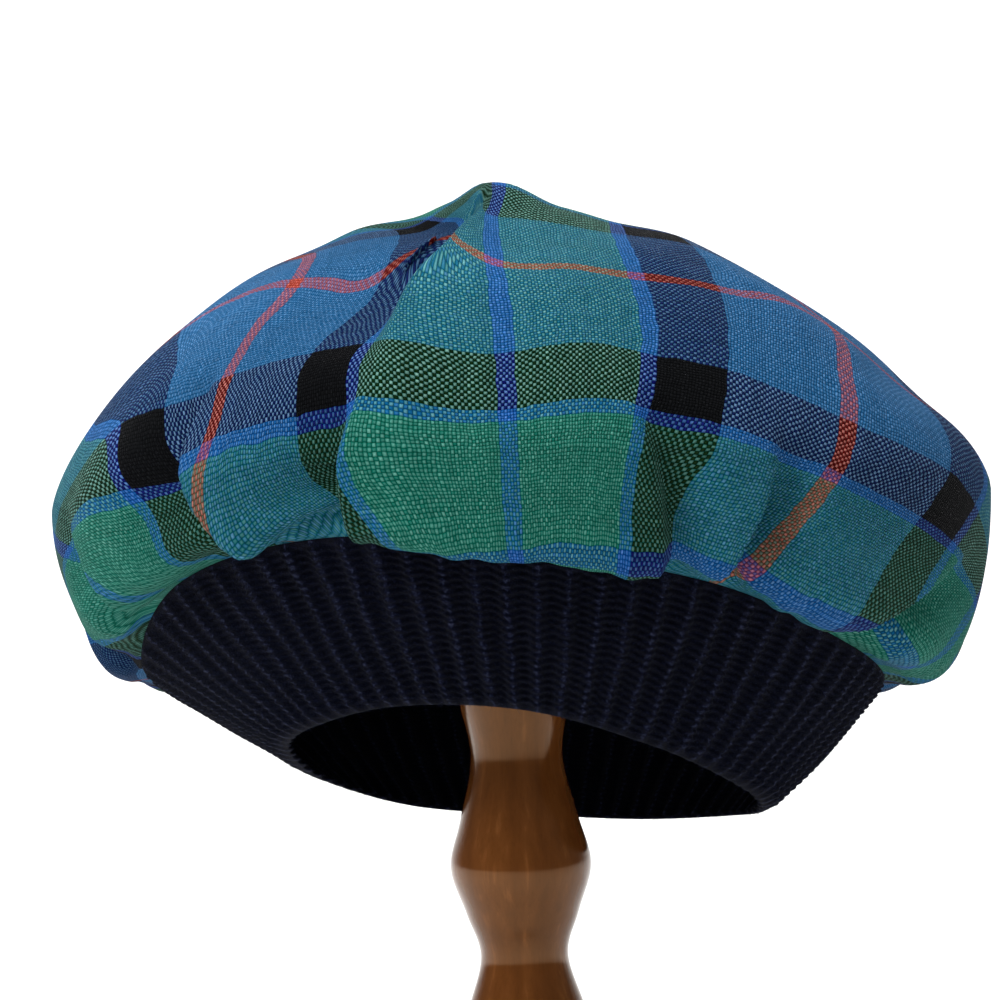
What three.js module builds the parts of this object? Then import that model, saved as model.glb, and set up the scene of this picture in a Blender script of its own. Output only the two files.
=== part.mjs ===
// A tam o' shanter resting on a turned wooden display stand.
// Millimetres, +Z up, front towards -Y. The origin is the centre of the stand's underside.
import * as THREE from "three";
import { mergeVertices } from "three/addons/utils/BufferGeometryUtils.js";

// ---------------------------------------------------------------- driving dimensions
const PEAK_Z = 320; // top of the crown, over the tip of the stand
const CLOTH = 1.6; // wall of the tartan cloth
const KNIT = 3.6; // wall of the ribbed headband
const GAP = 0.5; // between two pieces that touch
const AROUND = 64; // sections round the hat
const CROWN_RINGS = 18; // rings from the peak to the seam
const ARC_SAMPLES = 160; // fine steps that a section's arc length is measured with
const POST_SIDES = 28;
const BASE_SIDES = 44;

// Plan centres. The hat hangs back from the post, so its loops lie behind the post's axis.
const SEAM_CENTRE = { x: 3, y: 34 };
const RIM_CENTRE = { x: 3, y: 22 };
const BULGE_CENTRE = { x: 0, y: 40 };

// Azimuth 0 is the front, 90 the right side, 180 the back.
// The seam joins crown and band, and the rim is the band's free edge.
const BAND_SECTIONS = table(
  ["azimuth", "seamRadius", "seamZ", "rimRadius", "rimZ"],
  [
    [-150, 108, 152, 74, 124],
    [-120, 112, 162, 75, 136],
    [-90, 118, 175, 75, 150],
    [-60, 115, 204, 74, 160],
    [-30, 110, 216, 73, 167],
    [0, 107, 211, 72, 165],
    [30, 108, 199, 72, 153],
    [60, 111, 178, 73, 138],
    [90, 112, 162, 74, 126],
    [120, 110, 155, 75, 120],
    [150, 108, 151, 74, 117],
    [180, 107, 150, 73, 119],
  ],
);

// The bulge is the widest point of a section. Fullness 2 is a round arc, and 1 a straight slope.
const CROWN_SECTIONS = table(
  ["azimuth", "bulgeRadius", "bulgeZ", "upperFullness", "lowerFullness", "sag"],
  [
    [-150, 130, 208, 1.5, 1.9, 0],
    [-120, 134, 216, 1.52, 1.9, 0],
    [-90, 141, 224, 1.52, 2.0, 2],
    [-60, 141, 230, 1.5, 2.2, 2],
    [-30, 132, 236, 1.42, 2.2, 0],
    [0, 128, 238, 1.38, 2.2, 0],
    [30, 136, 233, 1.38, 2.2, 0],
    [60, 147, 226, 1.38, 2.2, 2],
    [90, 148, 220, 1.46, 2.3, 2],
    [120, 138, 214, 1.5, 2.2, 0],
    [150, 131, 206, 1.5, 1.9, 0],
    [180, 130, 204, 1.48, 1.9, 0],
  ],
);

// Valleys that run up from the seam, between the soft lobes of the gathered cloth.
// top is where a valley dies out, as a share of the way from the peak to the seam.
const FOLDS = table(
  ["seamAzimuth", "topAzimuth", "top", "depth", "leftWidth", "rightWidth"],
  [
    [-168, -164, 0.6, 6, 7, 7],
    [-140, -146, 0.55, 7, 8, 7],
    [-113, -118, 0.6, 6, 7, 8],
    [-88, -92, 0.62, 5, 7, 7],
    [-66, -70, 0.74, 4, 6, 7],
    [-37, -46, 0.5, 8, 8, 5],
    [-23, -21, 0.55, 7, 8, 5],
    [19, 17, 0.8, 3, 5, 5],
    [26, 33, 0.65, 5, 5, 7],
    [47, 66, 0.65, 8, 6, 9],
    [98, 102, 0.6, 6, 8, 7],
    [126, 121, 0.58, 7, 7, 8],
    [157, 153, 0.62, 6, 7, 7],
  ],
);

// The panel over the front stands proud of the cloth on its left, along a crease down from the peak.
// Its drop grows from one share of the way down the crown to full, and fades out by to.
const CREASE = { azimuth: -21, from: 0.06, full: 0.2, fade: 0.3, to: 0.6, drop: 7, sharp: 3.5, width: 26 };
const FOLD_FULL = 0.7; // share of a valley's own length where it reaches its depth
const FOLD_FADE = 0.9; // share of the way to the seam where every valley starts to close
const DROOP = 1.5; // how far a lobe hangs below its round form, for each millimetre of sag

// Round the band's section, from the seam down its outer face and back up its inner face.
// wall is a share of the knit's thickness inwards, and bulge stands out from the straight face.
const BAND_STRIP = table(
  ["down", "wall", "bulge"],
  [
    [0, 0, 0],
    [0.25, 0, 1.2],
    [0.5, 0, 1.6],
    [0.75, 0, 1.2],
    [0.95, 0, 0],
    [1, 0.3, 0],
    [1, 0.7, 0],
    [0.95, 1, 0],
    [0.66, 1, 1.2],
    [0.33, 1, 1.2],
    [0, 1, 0],
  ],
);

// The turned post, from the foot up to the tip inside the crown.
const POST_OUTLINE = table(
  ["z", "radius"],
  [
    [18.5, 21],
    [26, 17],
    [33, 13.4],
    [44, 17.4],
    [57, 21.2],
    [72, 17.6],
    [88, 13.2],
    [101, 17],
    [115, 21.2],
    [129, 17.8],
    [147, 13.8],
    [163, 16.4],
    [177, 19.5],
    [192, 16.4],
    [207, 12.6],
  ],
);
const POST_TOP = 222;
const HEAD = {
  bottom: 222.5,
  bottomRadius: 13,
  widestZ: 262,
  radius: 17,
  taperZ: 288,
  taperRadius: 13,
  top: 316.4,
  tipRadius: 8.5,
};
const BASE = { radius: 76, height: 18, edge: 5, step: 3, collar: 27, chamfer: 1.5 };
const CURVE_STEPS = 8; // straight pieces along the head's side
const ARC_STEPS = 4; // straight pieces round a quarter turn
const POST_STEPS = 2; // straight pieces for each row of the post's outline

const MATERIALS = {
  tartan: { color: 0x2f6f86, roughness: 0.92, metalness: 0 },
  knit: { color: 0x12122a, roughness: 0.95, metalness: 0 },
  wood: { color: 0x8d5f3b, roughness: 0.32, metalness: 0 },
};

// ---------------------------------------------------------------- small helpers
function table(columns, rows) {
  return rows.map((row) => Object.fromEntries(columns.map((name, i) => [name, row[i]])));
}

const radians = THREE.MathUtils.degToRad;
const smooth = THREE.MathUtils.smoothstep;

// A column of a table of sections at any azimuth, on a smooth closed curve through its rows.
function at(sections, column, azimuth) {
  const n = sections.length;
  const step = 360 / n;
  const place = THREE.MathUtils.euclideanModulo(azimuth - sections[0].azimuth, 360) / step;
  const i = Math.floor(place) % n;
  const t = place - Math.floor(place);
  const [a, b, c, d] = [-1, 0, 1, 2].map((k) => sections[(i + k + n) % n][column]);
  const rise = (c - a) / 2;
  const fall = (d - b) / 2;
  return (
    (2 * t ** 3 - 3 * t ** 2 + 1) * b +
    (t ** 3 - 2 * t ** 2 + t) * rise +
    (-2 * t ** 3 + 3 * t ** 2) * c +
    (t ** 3 - t ** 2) * fall
  );
}

function inPlan(centre, radius, azimuth, z) {
  const a = radians(azimuth);
  return new THREE.Vector3(centre.x + radius * Math.sin(a), centre.y - radius * Math.cos(a), z);
}

function signedTurn(from, to) {
  return THREE.MathUtils.euclideanModulo(to - from + 180, 360) - 180;
}

function meshOf(name, geometry, look) {
  const clean = geometry.clone();
  clean.deleteAttribute("uv");
  clean.deleteAttribute("normal");
  const merged = mergeVertices(clean, 1e-3);
  merged.computeVertexNormals();
  const mesh = new THREE.Mesh(merged, new THREE.MeshStandardMaterial(look));
  mesh.name = name;
  return mesh;
}

// A closed surface from rows of points, each a loop round the hat. Given end points close the first
// and last rows with fans. Without them, the two rows are joined to each other.
function surfaceOf(rows, firstEnd, lastEnd) {
  const around = rows[0].length;
  const points = rows.flat();
  const index = [];
  const id = (row, k) => row * around + (k % around);
  const bands = firstEnd ? rows.length - 1 : rows.length;
  for (let row = 0; row < bands; row++) {
    const next = (row + 1) % rows.length;
    for (let k = 0; k < around; k++) {
      index.push(id(row, k), id(next, k), id(next, k + 1));
      index.push(id(row, k), id(next, k + 1), id(row, k + 1));
    }
  }
  if (firstEnd) {
    points.push(firstEnd, lastEnd);
    const [first, last] = [points.length - 2, points.length - 1];
    for (let k = 0; k < around; k++) {
      index.push(first, id(0, k), id(0, k + 1));
      index.push(last, id(rows.length - 1, k + 1), id(rows.length - 1, k));
    }
  }
  return new THREE.BufferGeometry().setFromPoints(points).setIndex(index);
}

// ---------------------------------------------------------------- crown
// One section of the crown, from the peak out to the bulge and back in to the seam, as fine steps.
function crownSection(azimuth) {
  const crown = (column) => at(CROWN_SECTIONS, column, azimuth);
  const seam = inPlan(
    SEAM_CENTRE,
    at(BAND_SECTIONS, "seamRadius", azimuth),
    azimuth,
    at(BAND_SECTIONS, "seamZ", azimuth),
  );
  const bulge = inPlan(BULGE_CENTRE, crown("bulgeRadius"), azimuth, crown("bulgeZ"));
  const points = [];
  for (let i = ARC_SAMPLES; i >= 0; i--) {
    const q = ((i / ARC_SAMPLES) * Math.PI) / 2;
    const out = Math.cos(q) ** (2 / crown("upperFullness"));
    const up = Math.sin(q) ** (2 / crown("upperFullness"));
    points.push(
      new THREE.Vector3(bulge.x * out, bulge.y * out, bulge.z + (PEAK_Z - bulge.z) * up),
    );
  }
  for (let i = 1; i <= ARC_SAMPLES; i++) {
    const q = ((i / ARC_SAMPLES) * Math.PI) / 2;
    const out = Math.cos(q) ** (2 / crown("lowerFullness"));
    const down = Math.sin(q) ** (2 / crown("lowerFullness"));
    const droop = crown("sag") * DROOP * Math.sin(2 * q) ** 2 * Math.sin(q) ** 2;
    points.push(
      new THREE.Vector3(
        seam.x + (bulge.x - seam.x) * out,
        seam.y + (bulge.y - seam.y) * out,
        bulge.z - (bulge.z - seam.z) * down - droop,
      ),
    );
  }
  return points;
}

// Points at even shares of a section's arc length.
function evenly(points, shares) {
  const along = [0];
  for (let i = 1; i < points.length; i++) {
    along.push(along[i - 1] + points[i].distanceTo(points[i - 1]));
  }
  const total = along[along.length - 1];
  let i = 1;
  return shares.map((share) => {
    while (i < along.length - 1 && along[i] < share * total) i++;
    const t = (share * total - along[i - 1]) / (along[i] - along[i - 1]);
    return points[i - 1].clone().lerp(points[i], THREE.MathUtils.clamp(t, 0, 1));
  });
}

// How far the cloth stands in (negative) or out at a point of the crown.
function foldAt(azimuth, share) {
  let out = 0;
  for (const fold of FOLDS) {
    const towards = (share - fold.top) / (1 - fold.top);
    const middle = THREE.MathUtils.lerp(fold.topAzimuth, fold.seamAzimuth, towards);
    const aside = signedTurn(middle, azimuth);
    const width = aside < 0 ? fold.leftWidth : fold.rightWidth;
    const along = smooth(towards, 0, FOLD_FULL) * (1 - smooth(share, FOLD_FADE, 1));
    out -= fold.depth * along * Math.exp(-((aside / width) ** 2));
  }
  const aside = signedTurn(CREASE.azimuth, azimuth);
  const { from, full, fade, to } = CREASE;
  const along = smooth(share, from, full) * (1 - smooth(share, fade, to));
  const left = aside < 0 ? Math.exp(-((aside / CREASE.width) ** 2)) : 0;
  out -= CREASE.drop * along * left * smooth(-aside, 0, CREASE.sharp);
  return out;
}

function crownGeometry() {
  const shares = Array.from({ length: CROWN_RINGS }, (_, i) => (i + 1) / CROWN_RINGS);
  const azimuths = Array.from({ length: AROUND }, (_, k) => (k * 360) / AROUND);
  const sections = azimuths.map((azimuth) => evenly(crownSection(azimuth), shares));
  const ring = (row, k) => sections[(k + AROUND) % AROUND][row];
  const peak = new THREE.Vector3(0, 0, PEAK_Z);

  const normalAt = (row, k, get) => {
    const above = row > 0 ? get(row - 1, k) : peak;
    const below = get(Math.min(row + 1, CROWN_RINGS - 1), k);
    const down = below.clone().sub(above);
    const turn = get(row, k + 1).clone().sub(get(row, k - 1));
    return turn.cross(down).negate().normalize();
  };
  const outer = shares.map((share, row) =>
    azimuths.map((azimuth, k) =>
      ring(row, k).clone().addScaledVector(normalAt(row, k, ring), foldAt(azimuth, share)),
    ),
  );
  const folded = (row, k) => outer[row][(k + AROUND) % AROUND];
  const inner = outer.map((loop, row) =>
    loop.map((point, k) => point.clone().addScaledVector(normalAt(row, k, folded), -CLOTH)),
  );
  const underPeak = new THREE.Vector3(0, 0, PEAK_Z - CLOTH);
  return surfaceOf([...outer, ...inner.reverse()], peak, underPeak);
}

// ---------------------------------------------------------------- headband
function headbandGeometry() {
  const rows = BAND_STRIP.map(({ down, wall, bulge }) =>
    Array.from({ length: AROUND }, (_, k) => {
      const azimuth = (k * 360) / AROUND;
      const band = (column) => at(BAND_SECTIONS, column, azimuth);
      const inward = wall * KNIT - bulge;
      const topRadius = band("seamRadius") - GAP - inward;
      const top = inPlan(SEAM_CENTRE, topRadius, azimuth, band("seamZ") - GAP);
      const rim = inPlan(RIM_CENTRE, band("rimRadius") - inward, azimuth, band("rimZ"));
      return top.lerp(rim, down);
    }),
  );
  return surfaceOf(rows);
}

// ---------------------------------------------------------------- stand
function latheOf(outline, sides) {
  const geometry = new THREE.LatheGeometry(outline, sides);
  return geometry.rotateX(Math.PI / 2);
}

function postGeometry() {
  const turned = new THREE.SplineCurve(
    POST_OUTLINE.map(({ z, radius }) => new THREE.Vector2(radius, z)),
  ).getPoints(POST_STEPS * POST_OUTLINE.length);
  const foot = new THREE.Vector2(0, POST_OUTLINE[0].z);
  const shoulder = new THREE.Vector2(POST_OUTLINE.at(-1).radius, POST_TOP);
  return latheOf([foot, ...turned, shoulder, new THREE.Vector2(0, POST_TOP)], POST_SIDES);
}

// A plain peg with a rounded tip, which the crown hangs on.
function headGeometry() {
  const side = new THREE.SplineCurve([
    new THREE.Vector2(HEAD.bottomRadius, HEAD.bottom),
    new THREE.Vector2(HEAD.radius, HEAD.widestZ),
    new THREE.Vector2(HEAD.taperRadius, HEAD.taperZ),
    new THREE.Vector2(HEAD.tipRadius, HEAD.top - HEAD.tipRadius),
  ]).getPoints(CURVE_STEPS);
  const tip = new THREE.EllipseCurve(
    0,
    HEAD.top - HEAD.tipRadius,
    HEAD.tipRadius,
    HEAD.tipRadius,
    0,
    Math.PI / 2,
  ).getPoints(ARC_STEPS);
  const outline = [new THREE.Vector2(0, HEAD.bottom), ...side, ...tip.slice(1, -1)];
  return latheOf([...outline, new THREE.Vector2(0, HEAD.top)], POST_SIDES);
}

function baseGeometry() {
  const { radius, height, edge, step, collar, chamfer } = BASE;
  const shoulder = height - step;
  const round = new THREE.EllipseCurve(
    radius - edge,
    shoulder - edge,
    edge,
    edge,
    0,
    Math.PI / 2,
  ).getPoints(ARC_STEPS);
  const outline = [
    new THREE.Vector2(0, 0),
    new THREE.Vector2(radius - chamfer, 0),
    new THREE.Vector2(radius, chamfer),
    ...round,
    new THREE.Vector2(collar + step, shoulder),
    new THREE.Vector2(collar, height),
    new THREE.Vector2(0, height),
  ];
  return latheOf(outline, BASE_SIDES);
}

// ---------------------------------------------------------------- assembly
const hat = new THREE.Group();
hat.add(meshOf("crown", crownGeometry(), MATERIALS.tartan));
hat.add(meshOf("headband", headbandGeometry(), MATERIALS.knit));

const stand = new THREE.Group();
stand.add(meshOf("stand_post", postGeometry(), MATERIALS.wood));
stand.add(meshOf("stand_head", headGeometry(), MATERIALS.wood));
stand.add(meshOf("stand_base", baseGeometry(), MATERIALS.wood));

const tamOnStand = new THREE.Group();
tamOnStand.add(hat, stand);

export default tamOnStand;
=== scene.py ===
"""A tartan tam o' shanter with a ribbed knit band, resting on a turned and varnished wooden stand."""
import math

import bpy
import numpy as np
from mathutils import Matrix, Vector


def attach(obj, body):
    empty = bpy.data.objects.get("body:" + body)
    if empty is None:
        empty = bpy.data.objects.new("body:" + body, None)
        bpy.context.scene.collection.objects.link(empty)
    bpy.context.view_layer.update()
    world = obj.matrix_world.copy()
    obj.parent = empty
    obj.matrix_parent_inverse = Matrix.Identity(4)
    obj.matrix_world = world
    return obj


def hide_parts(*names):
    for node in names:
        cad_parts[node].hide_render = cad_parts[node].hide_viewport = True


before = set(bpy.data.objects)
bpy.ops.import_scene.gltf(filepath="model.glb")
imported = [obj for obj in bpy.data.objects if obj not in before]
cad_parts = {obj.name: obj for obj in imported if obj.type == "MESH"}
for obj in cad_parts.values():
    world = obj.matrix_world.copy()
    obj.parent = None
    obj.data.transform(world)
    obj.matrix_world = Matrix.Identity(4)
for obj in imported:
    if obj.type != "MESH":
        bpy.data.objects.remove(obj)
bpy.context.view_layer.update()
MM = 0.001
RNG = np.random.default_rng(11)

# ------------------------------------------------------------------ dimensions, in millimetres
PEAK_Z = 320.0
CLOTH = 1.3  # the woven cloth's wall
KNIT = 3.6  # the knit band's wall
SEAM_CENTRE = (3.0, 34.0)
RIM_CENTRE = (3.0, 22.0)
BULGE_CENTRE = (0.0, 40.0)
CROWN_AROUND = 400
CROWN_RINGS = 120
ARC_SAMPLES = 240
SEAM_ALLOWANCE = (1.2, 2.5, 3.8)  # steps inwards from the seam
FOLD_FADE = 0.26  # share over which a fold that ends above the band dies out
PUFF = dict(share=0.945, spread=0.045, out=5.5, at_back=0.25, reach=72)  # above the seam, most at the front
RIBS = 74
COURSE = 2.35  # height of one knitted row
RIB_POINTS = 8  # points across one rib
BAND_BULGE = 1.6  # how far the band stands out of its straight slant, halfway down
BAND_GAP = 0.1  # below the seam
BAND_ROWS = dict(outer=130, rim=8, inner=24)
RIM_START = 0.955  # share of the way down the band where its edge turns under
FUZZ = 9000  # loose wool ends on the band
FUZZ_END = dict(shortest=0.7, longest=2.4, thickness=0.055, rooted=0.3, lean=0.75)
RIM_FUZZ_SHARE, RIM_FUZZ_ROWS = 0.3, 16  # how many of the ends are kept for the lowest rows
CLOTH_UNIT = 1.102  # the unit that places on the flat cloth are measured in
HALF_SETT = 83  # cloth units from the middle of the azure line to the middle of the red one
WARP_ENDS = 110  # threads in half a sett, across
WEFT_PICKS = 96  # threads in half a sett, up
PATTERN_MIDDLE = (-1.0, -28.7)  # where the peak lies on the cloth, from the crossing of two azure lines


def table(columns, rows):
    """A short table as one array for each named column."""
    return {name: np.array([row[i] for row in rows], float) for i, name in enumerate(columns)}


BAND_SECTIONS = table(
    ("azimuth", "seam_radius", "seam_z", "rim_radius", "rim_z"),
    [
        (-150, 108, 156, 74, 124),
        (-120, 112, 163, 75, 136),
        (-90, 118, 175, 75, 150),
        (-60, 115, 204, 74, 160),
        (-30, 110, 216, 73, 167),
        (0, 107, 211, 72, 165),
        (30, 108, 199, 72, 153),
        (60, 111, 178, 73, 138),
        (90, 112, 162, 74, 126),
        (120, 110, 155, 75, 120),
        (150, 108, 153, 74, 117),
        (180, 107, 154, 73, 119),
    ],
)
CROWN_SECTIONS = table(
    ("azimuth", "bulge_radius", "bulge_z", "upper_fullness", "lower_fullness", "sag"),
    [
        (-150, 130, 208, 1.5, 1.9, 0),
        (-120, 134, 216, 1.52, 1.9, 0),
        (-90, 141, 224, 1.52, 2.0, 2),
        (-60, 141, 230, 1.5, 2.2, 2),
        (-30, 132, 236, 1.42, 2.2, 0),
        (0, 128, 238, 1.38, 2.2, 0),
        (30, 136, 233, 1.38, 2.2, 0),
        (60, 147, 226, 1.38, 2.2, 2),
        (90, 148, 220, 1.46, 2.3, 2),
        (120, 138, 214, 1.5, 2.2, 0),
        (150, 131, 206, 1.5, 1.9, 0),
        (180, 130, 204, 1.48, 1.9, 0),
    ],
)
# Folds from their top, a share of the way from the peak to the seam, down to the band. The cloth on
# one side dives down, and the lobe on the other side (over: 1 right, -1 left) laps over it.
# Widths and laps are in millimetres, and hidden is the cloth inside the fold, in cloth units.
FOLDS = table(
    ("seam_azimuth", "top_azimuth", "top", "full", "end", "depth", "dive", "wall", "lap", "over", "hidden"),
    [
        (-168, -164, 0.50, 0.75, 1.2, 7, 13, 6, 4, 1, 5),
        (-140, -146, 0.45, 0.70, 1.2, 8, 15, 6, 5, -1, 6),
        (-113, -118, 0.52, 0.78, 1.2, 7, 12, 6, 4, 1, 5),
        (-88, -92, 0.56, 0.80, 1.2, 6, 12, 7, 3, -1, 4),
        (-66, -70, 0.74, 0.90, 1.2, 4, 9, 5, 2, 1, 2),
        (-37.5, -46, 0.57, 0.80, 1.2, 11, 15, 5, 6, 1, 34),
        (-23, -21, 0.60, 0.88, 1.2, 15, 16, 6, 4, 1, 1),
        (-20.5, -20.5, 0.05, 0.16, 0.66, 5.5, 34, 5, 3, 1, 16),
        (20, 18, 0.62, 0.86, 1.2, 8, 8, 4.5, 2, -1, 2),
        (27, 36, 0.68, 0.86, 1.2, 12, 8, 4, 4, -1, 1),
        (46, 70, 0.79, 0.90, 1.2, 13, 13, 7, 4, -1, 3),
        (98, 102, 0.55, 0.78, 1.2, 7, 13, 6, 4, 1, 5),
        (126, 121, 0.50, 0.74, 1.2, 8, 14, 6, 5, -1, 6),
        (157, 153, 0.55, 0.78, 1.2, 7, 12, 6, 4, 1, 5),
    ],
)
# Where the cloth stands out (or in) from the smooth form, as soft swellings.
SWELLINGS = table(
    ("azimuth", "share", "azimuth_spread", "share_spread", "out"),
    [
        (-70, 0.74, 17, 0.10, -1.5),
        (-31, 0.82, 10, 0.13, 4),
        (-12, 0.60, 8, 0.24, 1.5),
        (13, 0.62, 9, 0.24, 1.5),
        (0, 0.90, 16, 0.08, 1.5),
        (42, 0.86, 12, 0.10, 2),
        (74, 0.66, 14, 0.07, 1.0),
        (-95, 0.25, 45, 0.06, -1.6),
        (72, 0.56, 16, 0.06, -2),
        (80, 0.90, 20, 0.07, 1),
        (128, 0.45, 30, 0.14, 1.5),
    ],
)
# The cloth falls away round the stand's tip, on the left behind the crease and then on the right.
# Azimuths for the left one's reach, then plan radii in millimetres for both.
TIP_REACH = dict(crease=-20.5, back=-110.0, back_end=-178.0)
TIP_DROPS = table(
    ("full", "fade", "end", "drop"),
    [
        (14, 20, 46, 3.6),
        (20, 32, 60, 4.0),
    ],
)
# Shifts of the cloth over the form, in cloth units, right and up positive.
CLOTH_SHIFTS = table(
    ("azimuth", "share", "azimuth_spread", "share_spread", "shift_u", "shift_v"),
    [
        (-62, 0.42, 26, 0.26, -20, -4),
        (-58, 0.62, 12, 0.10, -14, -3),
        (-25, 0.12, 16, 0.10, -10, -22),
        (-19, 0.24, 13, 0.13, 0, -19),
        (-31, 0.34, 11, 0.13, 0, 10),
        (-4, 0.28, 8, 0.10, 0, -6),
        (-57, 0.73, 12, 0.10, -12, 0),
        (-52, 0.85, 9, 0.08, -9, 0),
        (-40, 0.80, 8, 0.12, -5, 0),
        (61, 0.97, 14, 0.08, -12, 0),
        (-33, 0.30, 20, 0.12, 0, -16),
        (-70, 0.42, 20, 0.14, 0, -12),
        (-46, 0.62, 12, 0.12, -8, 0),
        (-39, 0.74, 8, 0.10, -8, 0),
        (-30, 0.62, 16, 0.22, 0, -9),
        (-17, 0.60, 9, 0.3, 4, -3),
        (-19, 0.85, 8, 0.12, 5, 0),
        (13, 0.60, 9, 0.3, 0, -3),
        (18, 0.83, 8, 0.12, 5, 2),
        (50, 0.70, 16, 0.12, 0, 8),
        (68, 0.45, 14, 0.14, -6, -8),
        (72, 0.72, 20, 0.13, -11, -6),
        (84, 0.97, 28, 0.16, -14, -50),
        (-66, 0.72, 16, 0.16, 2, -10),
        (-84, 0.88, 24, 0.16, 0, -16),
        (-87, 0.97, 26, 0.16, 16, -64),
        (-46, 0.97, 13, 0.10, 17, 0),
    ],
)
POST_OUTLINE = table(
    ("z", "radius"),
    [
        (18.5, 21),
        (26, 17),
        (33, 13.4),
        (44, 17.4),
        (57, 21.2),
        (72, 17.6),
        (88, 13.2),
        (101, 17),
        (115, 21.2),
        (129, 17.8),
        (147, 13.8),
        (163, 16.4),
        (177, 19.5),
        (192, 16.4),
        (207, 12.6),
    ],
)
POST_TOP = 222.0
HEAD = dict(bottom=222.5, neck=13.0, widest_z=262.0, radius=17.0, top=316.4, tip_radius=8.5)
HEAD_UPPER = dict(z=288.0, radius=13.0)
BASE = dict(radius=76.0, height=18.0, edge=5.0, step=3.0, collar=27.0, chamfer=1.5)
POST_SIDES, HEAD_SIDES, BASE_SIDES = 96, 64, 128

# ------------------ studio: places in metres, lens and sensor in millimetres, roll in degrees
CAMERA = dict(place=(-0.0019, -0.8, 0.2246), lens=96.0, sensor=36.0, roll=2.3)
BACKDROP = dict(half_width=4.0, near=-4.0, depth=2.2, rise=3.0, bend=0.8)
WORLD_LIGHT = 0.13
LIGHTS = table(
    ("x", "y", "z", "aim_y", "aim_z", "size", "watts"),
    [
        (-1.1, -0.9, 1.5, 0.0, 0.22, 1.0, 38),
        (1.4, -1.0, 1.1, 0.0, 0.22, 1.2, 3),
        (0.2, 0.3, 2.0, 0.0, 0.22, 1.2, 12),
        (0.0, 0.5, 2.4, 2.2, 0.9, 2.5, 80),
        (-0.9, 0.9, 0.9, 0.0, 0.22, 0.8, 3),
    ],
)


# ------------------------------------------------------------------ small maths
def smooth(x, low, high):
    """0 below low and 1 above high, with a smooth step between them."""
    t = np.clip((np.asarray(x, float) - low) / (high - low), 0, 1)
    return t * t * (3 - 2 * t)


def rows_of(sections):
    """A table's rows, each as one number for each named column."""
    return [dict(zip(sections, values)) for values in zip(*sections.values())]


def at(sections, column, azimuth):
    """A column of a table at any azimuth, on a smooth closed curve through its rows."""
    values = sections[column]
    n = len(values)
    place = ((np.asarray(azimuth, float) - sections["azimuth"][0]) % 360) / (360 / n)
    i = np.floor(place).astype(int) % n
    t = place - np.floor(place)
    a, b, c, d = (values[(i + k) % n] for k in (-1, 0, 1, 2))
    rise, fall = (c - a) / 2, (d - b) / 2
    return (
        (2 * t**3 - 3 * t**2 + 1) * b
        + (t**3 - 2 * t**2 + t) * rise
        + (-2 * t**3 + 3 * t**2) * c
        + (t**3 - t**2) * fall
    )


def in_plan(centre, radius, azimuth, z):
    """Points at a radius from a centre, azimuth 0 at the front and 90 at the right."""
    a = np.radians(azimuth)
    x = centre[0] + radius * np.sin(a)
    y = centre[1] - radius * np.cos(a)
    return np.stack(np.broadcast_arrays(x, y, z), -1)


def turn(origin, azimuth):
    """How far azimuth lies from origin, from -180 to 180."""
    return (np.asarray(azimuth, float) - origin + 180) % 360 - 180


def waves(values, counts, strength):
    """A sum of seeded waves round a full turn of azimuths in degrees."""
    phases = RNG.uniform(0, 2 * np.pi, len(counts))
    sizes = RNG.uniform(0.5, 1.0, len(counts))
    a = np.radians(values)
    total = sum(s * np.cos(n * a + p) for n, s, p in zip(counts, sizes, phases))
    return strength * total / math.sqrt(len(counts) / 2)


def unit(vectors):
    """Vectors brought to length 1."""
    return vectors / np.maximum(np.linalg.norm(vectors, axis=-1, keepdims=True), 1e-9)


def outward_and_around(points):
    """Unit directions at a grid of points: first axis round the hat, second from the peak down."""
    around = np.roll(points, -1, 0) - np.roll(points, 1, 0)
    down = np.gradient(points, axis=1)
    return unit(np.cross(down, around)), unit(around)


# ------------------------------------------------------------------ mesh building
def mesh_object(name, points, faces):
    """An object from points in millimetres and faces of three or four corners."""
    mesh = bpy.data.meshes.new(name)
    corners = np.concatenate([np.asarray(f, np.int32).ravel() for f in faces])
    sizes = np.concatenate([np.full(len(f), np.asarray(f).shape[1], np.int32) for f in faces])
    starts = np.concatenate([[0], np.cumsum(sizes)[:-1]]).astype(np.int32)
    mesh.vertices.add(len(points))
    mesh.vertices.foreach_set("co", (np.asarray(points, np.float32) * MM).ravel())
    mesh.loops.add(len(corners))
    mesh.loops.foreach_set("vertex_index", corners)
    mesh.polygons.add(len(sizes))
    mesh.polygons.foreach_set("loop_start", starts)
    mesh.polygons.foreach_set("use_smooth", np.full(len(sizes), True))
    mesh.update(calc_edges=True)
    mesh.validate()
    piece = bpy.data.objects.new(name, mesh)
    bpy.context.scene.collection.objects.link(piece)
    return piece


def loft_faces(around, rows, closed):
    """Quads between rows of points stored row after row, each row a loop."""
    k = np.arange(around)
    after = (k + 1) % around
    row = np.arange(rows if closed else rows - 1)[:, None] * around
    below = (row + around) % (rows * around)
    return np.stack([row + k, below + k, below + after, row + after], -1).reshape(-1, 4)


def cap_faces(around, rows):
    """Triangles from the first loop to the point after the last one, and from the last loop to the next."""
    k = np.arange(around)
    after = (k + 1) % around
    first_end, last = rows * around, (rows - 1) * around
    first = np.stack([np.full_like(k, first_end), k, after], -1)
    return np.concatenate([first, np.stack([np.full_like(k, first_end + 1), last + after, last + k], -1)])


def set_uv(piece, name, values):
    """Writes a UV layer from one pair of numbers for each vertex."""
    layer = piece.data.uv_layers.new(name=name)
    index = np.zeros(len(piece.data.loops), np.int32)
    piece.data.loops.foreach_get("vertex_index", index)
    layer.data.foreach_set("uv", np.asarray(values, np.float32)[index].ravel())


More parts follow.
